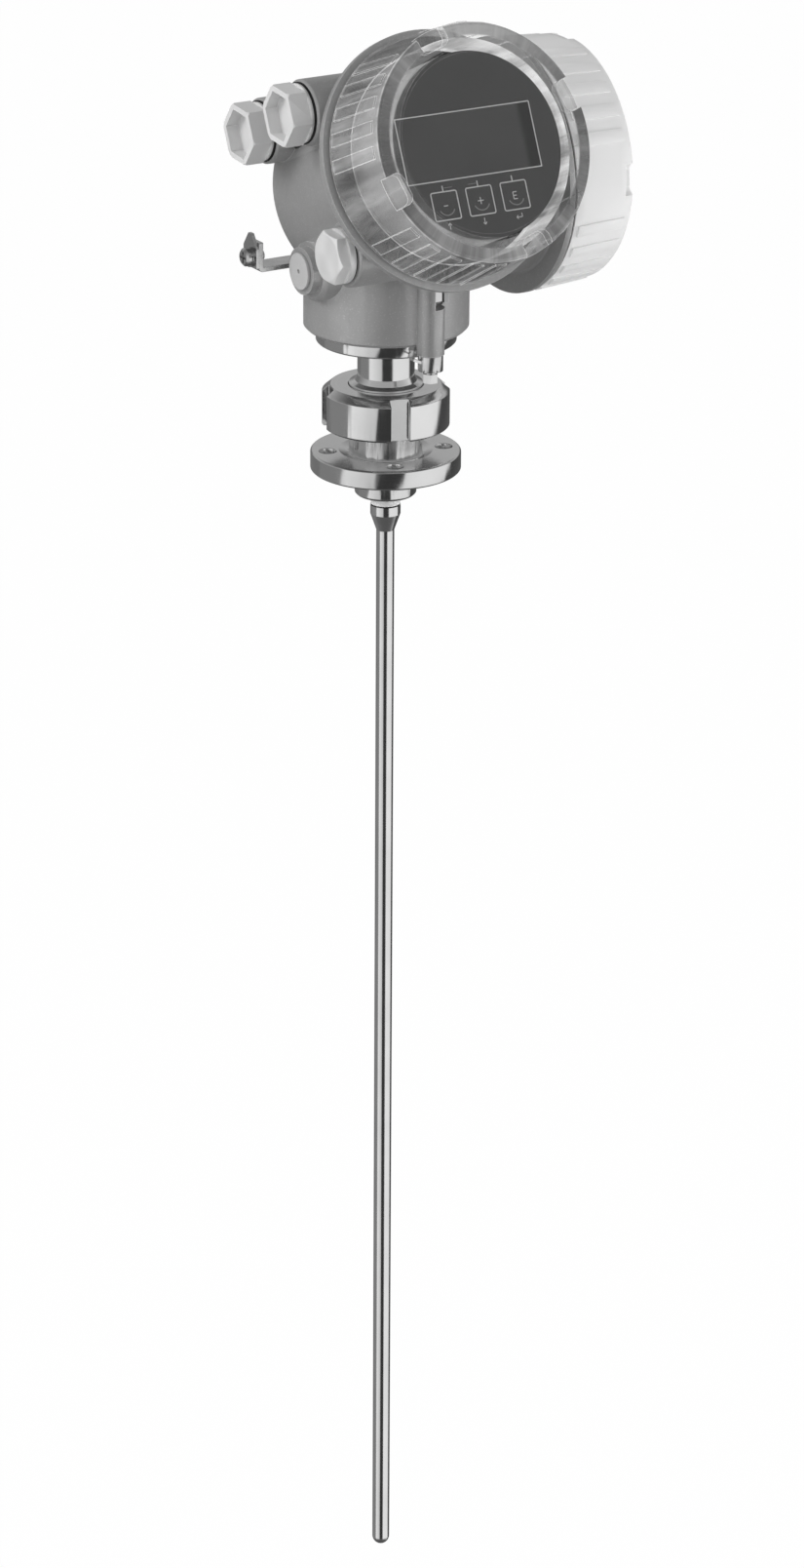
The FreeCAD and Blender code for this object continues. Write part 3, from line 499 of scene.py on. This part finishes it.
def soften(node, width):
    """Small rounds on a node's sharp edges, as modifiers."""
    target = nodes[node]
    weld = target.modifiers.new("weld", "WELD")
    weld.merge_threshold = WELD_DISTANCE
    rounds = target.modifiers.new("rounds", "BEVEL")
    rounds.width = width
    rounds.segments = ROUND_SEGMENTS
    rounds.limit_method = "ANGLE"
    rounds.angle_limit = math.radians(ROUND_FROM_ANGLE)
    rounds.use_clamp_overlap = True
    rounds.harden_normals = True


def head_matrix(out):
    """Places a flat drawing, x across and y up, on the display's plane at that distance out."""
    turn = Matrix.Rotation(math.radians(90 - HEAD_LEAN), 4, "X")
    return Matrix.Translation((0, 0, HEAD_HEIGHT)) @ turn @ Matrix.Translation((0, 0, out))


# Printed marks on the display

def node_tree(name, sizes):
    """Empty geometry tree with named number inputs and a geometry output."""
    tree = bpy.data.node_groups.new(name, "GeometryNodeTree")
    tree.interface.new_socket("Geometry", in_out="OUTPUT", socket_type="NodeSocketGeometry")
    for label, value in sizes.items():
        socket = tree.interface.new_socket(label, in_out="INPUT", socket_type="NodeSocketFloat")
        socket.default_value = value
    entry = tree.nodes.new("NodeGroupInput")
    ends = {label: Shade(tree, entry.outputs[label]) for label in sizes}
    return tree, ends


def finish_tree(tree, geometry, material):
    real = add_node(tree, "GeometryNodeRealizeInstances", None, {"Geometry": geometry})
    dressed = add_node(tree, "GeometryNodeSetMaterial", None, {"Geometry": real, "Material": material})
    group_output = tree.nodes.new("NodeGroupOutput")
    tree.links.new(dressed.socket, group_output.inputs[0])


def bake_tree(name, tree, place, material):
    """Runs a geometry tree on an empty mesh and keeps the result as a plain mesh."""
    holder = bpy.data.objects.new(name + "_maker", bpy.data.meshes.new(name + "_maker"))
    bpy.context.scene.collection.objects.link(holder)
    maker = holder.modifiers.new("maker", "NODES")
    maker.node_group = tree
    for socket in tree.interface.items_tree:
        if socket.in_out == "INPUT":
            maker[socket.identifier] = socket.default_value
    evaluated = holder.evaluated_get(bpy.context.evaluated_depsgraph_get())
    mesh = bpy.data.meshes.new_from_object(evaluated)
    bpy.data.objects.remove(holder)
    mesh.transform(place)
    mesh.materials.clear()
    mesh.materials.append(material)
    piece = bpy.data.objects.new(name, mesh)
    bpy.context.scene.collection.objects.link(piece)
    return piece


def rectangle(tree, width, height):
    sides = {"Width": width, "Height": height}
    return add_node(tree, "GeometryNodeCurvePrimitiveQuadrilateral", None, sides)


def outline_strip(tree, curve, width, height):
    """Flat strip along a curve: a curve swept by a small rectangle."""
    swept = {"Curve": curve, "Profile Curve": rectangle(tree, width, height)}
    return add_node(tree, "GeometryNodeCurveToMesh", None, swept)


def straight_line(tree, start, end):
    ends = {"Start": (start[0], start[1], 0), "End": (end[0], end[1], 0)}
    return add_node(tree, "GeometryNodeCurvePrimitiveLine", None, ends)


def shifted(tree, geometry, x, y):
    offset = add_node(tree, "ShaderNodeCombineXYZ", None, {0: x, 1: y, 2: 0.0})
    return add_node(tree, "GeometryNodeTransform", None, {"Geometry": geometry, "Translation": offset})


def joined(tree, parts):
    join = tree.nodes.new("GeometryNodeJoinGeometry")
    for part in reversed(parts):
        tree.links.new(part.socket, join.inputs[0])
    return Shade(tree, join.outputs[0])


def frame_outline(tree, width, height, corner, line, stand):
    """Rounded rectangular frame of a printed line's width."""
    rounded = add_node(tree, "GeometryNodeFilletCurve", {"mode": "POLY"},
                       {"Curve": rectangle(tree, width, height), "Count": 5, "Radius": corner})
    return outline_strip(tree, rounded, line, stand)


def along_keys(tree, geometry):
    """Repeats a printed mark on the three keys."""
    row = add_node(tree, "GeometryNodeMeshLine", None,
                   {"Count": 3, "Start Location": (KEY_MIDDLE[0] - KEY_PITCH, KEY_MIDDLE[1], 0),
                    "Offset": (KEY_PITCH, 0, 0)})
    return add_node(tree, "GeometryNodeInstanceOnPoints", None, {"Points": row, "Instance": geometry})


def key_frames(ink):
    """Rounded key frames, each with the tick that runs up to the display."""
    tree, size = node_tree("key_frames", {"key width": KEY_SIZE[0], "key height": KEY_SIZE[1],
                                          "corner": KEY_CORNER, "line": LINE_WIDTH, "stand": PRINT_STAND})
    outline = frame_outline(tree, size["key width"], size["key height"], size["corner"],
                            size["line"], size["stand"])
    tick_line = straight_line(tree, (0, KEY_SIZE[1] / 2), (0, KEY_SIZE[1] / 2 + TICK_LENGTH))
    tick = outline_strip(tree, tick_line, size["line"], size["stand"])
    finish_tree(tree, along_keys(tree, joined(tree, [outline, tick])), ink)
    return bake_tree("key_frames", tree, head_matrix(PRINT_MIDDLE), ink)


def key_crescents(ink):
    """Faint crescent under each key's sign, where a finger rests."""
    tree, size = node_tree("key_crescents",
                           {"radius": CRESCENT_RADIUS, "line": LINE_WIDTH, "stand": PRINT_STAND})
    arc = add_node(tree, "GeometryNodeCurveArc", None,
                   {"Resolution": 20, "Radius": size["radius"], "Start Angle": math.radians(CRESCENT_START),
                    "Sweep Angle": math.radians(CRESCENT_SWEEP)})
    strip = outline_strip(tree, arc, size["line"], size["stand"])
    crescent = shifted(tree, strip, CRESCENT_SHIFT[0], CRESCENT_SHIFT[1])
    finish_tree(tree, along_keys(tree, crescent), ink)
    return bake_tree("key_crescents", tree, head_matrix(PRINT_MIDDLE), ink)


def lcd_frame(ink):
    """Thin printed frame around the display pane."""
    tree, size = node_tree("lcd_frame", {"width": LCD_FRAME[0], "height": LCD_FRAME[1], "corner": LCD_CORNER,
                                         "line": LINE_WIDTH, "stand": PRINT_STAND})
    strip = frame_outline(tree, size["width"], size["height"], size["corner"], size["line"], size["stand"])
    finish_tree(tree, shifted(tree, strip, LCD_FRAME_AT[0], LCD_FRAME_AT[1]), ink)
    return bake_tree("lcd_frame", tree, head_matrix(PRINT_MIDDLE), ink)


def lcd_window(glass):
    """Smooth pane of the liquid-crystal display, inside its printed frame."""
    tree, size = node_tree("lcd_window",
                           {"width": LCD_FRAME[0] - LINE_WIDTH, "height": LCD_FRAME[1] - LINE_WIDTH,
                            "stand": PANE_STAND})
    outline = rectangle(tree, size["width"], size["height"])
    filled = add_node(tree, "GeometryNodeFillCurve", {"mode": "NGONS"}, {"Curve": outline})
    raised = add_node(tree, "GeometryNodeExtrudeMesh", None,
                      {"Mesh": filled, "Offset Scale": size["stand"]})
    base = add_node(tree, "GeometryNodeFlipFaces", None, {"Mesh": filled})
    pane = joined(tree, [base, raised])
    finish_tree(tree, shifted(tree, pane, LCD_FRAME_AT[0], LCD_FRAME_AT[1]), glass)
    return bake_tree("lcd_window", tree, head_matrix(DISPLAY_FACE), glass)


def printed_strokes(name, strokes, line_width, place, ink):
    """Sign drawn with straight strokes, in millimetres around its place on the front plate."""
    tree, size = node_tree(name, {"line": line_width, "stand": PRINT_STAND, "x": place[0], "y": place[1]})
    strips = []
    for x0, y0, x1, y1 in strokes:
        line = straight_line(tree, (x0 * MM, y0 * MM), (x1 * MM, y1 * MM))
        strips.append(outline_strip(tree, line, size["line"], size["stand"]))
    finish_tree(tree, shifted(tree, joined(tree, strips), size["x"], size["y"]), ink)
    return bake_tree(name, tree, head_matrix(PRINT_MIDDLE), ink)


# Strokes in millimetres: (from x, from y, to x, to y)
MINUS = [(-1.2, 0, 1.2, 0)]
PLUS = [(-1.6, 0, 1.6, 0), (0, -1.7, 0, 1.7)]
ENTER = [(-1.0, -1.7, -1.0, 1.7), (-1.0, 1.7, 1.1, 1.7), (-1.0, 0, 0.8, 0), (-1.0, -1.7, 1.1, -1.7)]
ARROW_UP = [(0, -1.6, 0, 1.6), (0, 1.6, -1.0, 0.5), (0, 1.6, 1.0, 0.5)]
ARROW_DOWN = [(0, -1.6, 0, 1.6), (0, -1.6, -1.0, -0.5), (0, -1.6, 1.0, -0.5)]
ARROW_RETURN = [(1.6, 1.2, 1.6, -0.6), (1.6, -0.6, -1.6, -0.6), (-1.6, -0.6, -0.6, 0.3),
                (-1.6, -0.6, -0.6, -1.5)]


def bracket(ink):
    """Faint bracket that joins the ticks of the first two keys."""
    length = KEY_PITCH / MM
    half_gap = BRACKET_HALF_GAP / MM
    strokes = [(0, 0, length / 2 - half_gap, 0), (length / 2 + half_gap, 0, length, 0)]
    place = (KEY_MIDDLE[0] - KEY_PITCH, KEY_MIDDLE[1] + KEY_SIZE[1] / 2 + BRACKET_RISE)
    return printed_strokes("bracket", strokes, BRACKET_LINE, place, ink)


def display_print(ink, faint_ink, glass):
    """All marks of the front plate and the display pane; they turn with the head."""
    pieces = [key_frames(ink), key_crescents(faint_ink), lcd_frame(ink), bracket(faint_ink)]
    for i, (sign, arrow) in enumerate(((MINUS, ARROW_UP), (PLUS, ARROW_DOWN), (ENTER, ARROW_RETURN))):
        x = KEY_MIDDLE[0] + (i - 1) * KEY_PITCH
        y = KEY_MIDDLE[1]
        pieces.append(printed_strokes("key_sign_%d" % (i + 1), sign, SIGN_LINE, (x, y), ink))
        pieces.append(printed_strokes("key_arrow_%d" % (i + 1), arrow, ARROW_LINE, (x, y - ARROW_BELOW), ink))
    for piece in pieces:
        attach(piece, "head")
    window = lcd_window(glass)
    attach(window, "head")


# Studio

def camera_frame():
    """Camera matrix from its azimuth, pitch, roll and the point it looks at."""
    turn = math.radians(-CAMERA_AZIMUTH)
    pitch = math.radians(CAMERA_PITCH)
    roll = math.radians(CAMERA_ROLL)
    back = Vector((-math.sin(turn) * math.cos(pitch), -math.cos(turn) * math.cos(pitch), math.sin(pitch)))
    right = Vector((math.cos(turn), -math.sin(turn), 0.0))
    up = back.cross(right)
    place = back * CAMERA_DISTANCE + right * CAMERA_ASIDE - up * CAMERA_BELOW
    across = right * math.cos(roll) + up * math.sin(roll)
    upright = up * math.cos(roll) - right * math.sin(roll)
    matrix = Matrix((across, upright, back)).transposed().to_4x4()
    matrix.translation = place
    return matrix


def add_camera():
    data = bpy.data.cameras.new("camera")
    data.lens = CAMERA_LENS
    data.sensor_width = CAMERA_SENSOR
    data.clip_end = CAMERA_FAR
    camera = bpy.data.objects.new("camera", data)
    camera.matrix_world = camera_frame()
    bpy.context.scene.collection.objects.link(camera)
    bpy.context.scene.camera = camera


def add_lamp(name, place, size, power):
    """Soft rectangular lamp aimed at the neck's top; metal and clear plastic don't show it."""
    data = bpy.data.lights.new(name, "AREA")
    data.energy = power
    data.shape = "RECTANGLE"
    data.size = size[0]
    data.size_y = size[1]
    lamp = bpy.data.objects.new(name, data)
    lamp.location = place
    aim = Vector(LAMP_AIM) - Vector(place)
    lamp.rotation_euler = aim.to_track_quat("-Z", "Y").to_euler()
    lamp.visible_glossy = False
    lamp.visible_transmission = False
    bpy.context.scene.collection.objects.link(lamp)


def add_floor():
    """Floor that the camera sees as white, with only a trace of shadow."""
    bpy.ops.mesh.primitive_plane_add(size=FLOOR_SIZE, location=(0, 0, FLOOR_HEIGHT))
    floor = bpy.context.object
    floor.name = "floor"
    floor.visible_glossy = False
    floor.visible_transmission = False
    material, tree = new_material("studio_floor")
    seen_by_camera = add_node(tree, "ShaderNodeLightPath", output=0)
    matt = add_node(tree, "ShaderNodeBsdfDiffuse", None, {"Color": grey(FLOOR_GREY)})
    glow = add_node(tree, "ShaderNodeEmission", None, {"Color": grey(1.0), "Strength": 1.0})
    shares = {0: seen_by_camera * FLOOR_WHITE_SHARE, 1: matt, 2: glow}
    mixed = add_node(tree, "ShaderNodeMixShader", None, shares)
    add_node(tree, "ShaderNodeOutputMaterial", None, {"Surface": mixed})
    floor.data.materials.append(material)


# Studio walls as metal sees them: (degrees round from the camera, to its right positive; brightness)
STUDIO_BANDS = [
    (-180, 0.2), (-125, 0.2), (-118, 0.26), (-74, 0.26), (-68, 1.0), (-18, 0.68), (-13, 0.045), (24, 0.045),
    (30, 1.0), (104, 0.95), (112, 0.06), (180, 0.12)]

# Floor and ceiling as metal sees them: (sine of the height angle; brightness)
STUDIO_HEIGHTS = [(-1.0, 0.1), (-0.6, 0.14), (0.1, 0.6), (0.37, 0.5), (0.62, 0.28), (0.8, 0.1), (1.0, 0.08)]

# Where the walls pass over into ceiling and floor, as sines of the height angle
WALL_TOP = (0.1, 0.36)
WALL_FOOT = (-0.55, -0.8)


def add_world():
    """White backdrop for the camera; metal sees bright and dark studio walls, clear plastic a pale room."""
    world = bpy.data.worlds.new("studio")
    world.use_nodes = True
    tree = world.node_tree
    tree.nodes.clear()
    x, y, z = split(add_node(tree, "ShaderNodeTexCoord", output=0))
    turn = math.radians(-CAMERA_AZIMUTH)
    toward = x * -math.sin(turn) + y * -math.cos(turn)
    aside = x * math.cos(turn) + y * -math.sin(turn)
    angle = aside.math("ARCTAN2", toward)
    share = spread(angle, -math.pi, math.pi, 0.0, 1.0)
    stops = [((degrees + 180) / 360, value) for degrees, value in STUDIO_BANDS]
    walls = add_node(tree, "ShaderNodeValToRGB", {"stops": stops}, {"Fac": share})
    heights = [((level + 1) / 2, value) for level, value in STUDIO_HEIGHTS]
    height_share = spread(z, -1.0, 1.0, 0.0, 1.0)
    above = add_node(tree, "ShaderNodeValToRGB", {"stops": heights}, {"Fac": height_share})
    off_wall = (smooth_step(z, *WALL_TOP) + smooth_step(z, *WALL_FOOT)).math("MINIMUM", 1.0)
    room = mix_colours(tree, off_wall, walls, above)
    seen_by_camera = add_node(tree, "ShaderNodeLightPath", output=0)
    glossy = add_node(tree, "ShaderNodeLightPath", output=3)
    clear = add_node(tree, "ShaderNodeLightPath", output=6)
    mirrored = mix_colours(tree, glossy, grey(SOFT_LIGHT), room)
    soft = mix_colours(tree, clear, mirrored, grey(SEEN_THROUGH_CLEAR))
    seen = mix_colours(tree, seen_by_camera, soft, grey(1.0))
    background = add_node(tree, "ShaderNodeBackground", None, {"Color": seen, "Strength": 1.0})
    output = tree.nodes.new("ShaderNodeOutputWorld")
    tree.links.new(background.socket, output.inputs[0])
    bpy.context.scene.world = world


def add_studio():
    add_camera()
    add_floor()
    add_world()
    for name, place, size, power in LAMPS:
        add_lamp(name, place, size, power)
    bpy.context.scene.view_settings.view_transform = "Standard"


# Width of the rounds on each node's edges, in millimetres
ROUNDS = {
    "housing": 0.7, "process_flange": 0.25, "union_nut": 0.35, "adapter_ring": 0.2,
    "blanking_plug_front": 0.6, "blanking_plug_rear": 0.6, "terminal_cover": 0.35,
    "screw_plug": 0.3, "lock_clamp": 0.25, "lock_screw": 0.2, "ground_strap": 0.3,
    "ground_clamp": 0.25, "vent_plug": 0.25}


def dress():
    """Gives every CAD node its finish, and rounds the edges of the larger visible ones."""
    casting = powder_coat("casting_coat", 171)
    steel = turned_steel("turned_steel", 226, 0.13)
    satin_steel = turned_steel("satin_steel", 222, 0.15)
    plated = plated_metal("plated_metal", 218, 0.22)
    pale_plastic = moulded_plastic("plug_plastic", 206, 0.42)
    white_plastic = moulded_plastic("white_cover_plastic", 236, 0.36)
    black = rubber("seal_rubber")
    finishes = {
        "housing": casting,
        "process_flange": satin_steel,
        "union_nut": steel,
        "neck_tube": steel,
        "adapter_ring": steel,
        "retaining_ring": plated,
        "probe_rod": steel,
        "probe_insulator": moulded_plastic("insulator_plastic", 228, 0.4),
        "coupling_seal": moulded_plastic("seal_plastic", 230, 0.5),
        "glass_feedthrough": moulded_plastic("sealing_glass", 120, 0.12),
        "probe_seal": black,
        "display_cover_seal": black,
        "terminal_cover_seal": black,
        "plug_gasket_front": black,
        "plug_gasket_rear": black,
        "screw_plug_seal": black,
        "signal_lead": black,
        "display_cover": clear_polycarbonate("clear_cover"),
        "terminal_cover": white_plastic,
        "blanking_plug_front": pale_plastic,
        "blanking_plug_rear": pale_plastic,
        "vent_plug": moulded_plastic("vent_plastic", 174, 0.5),
        "screw_plug": turned_plate("turned_plug", 240, 0.44, SCREW_PLUG_UP, SCREW_PLUG_OUT),
        "lock_clamp": plated,
        "lock_screw": plated,
        "ground_strap": plated,
        "ground_clamp": plated,
        "ground_washer": plated,
        "ground_screw": plated,
        "display_panel": printed_foil("front_foil", 80),
        "lcd_module": printed_foil("lcd_glass", 70),
        "display_carrier": moulded_plastic("carrier_plastic", 128, 0.4),
        "display_board": moulded_plastic("board_laminate", 70, 0.4),
        "electronics_module": moulded_plastic("module_plastic", 60, 0.5),
        "terminal_plate": moulded_plastic("plate_plastic", 120, 0.5),
        "terminal_block": moulded_plastic("terminal_plastic", 95, 0.45),
        "terminal_screws": plated,
    }
    for node, material in finishes.items():
        assign(node, material)
    for node, width in ROUNDS.items():
        soften(node, width * MM)


dress()
display_print(flat_ink("print_ink", 196), flat_ink("faint_ink", 132), display_glass("display_glass"))
add_studio()
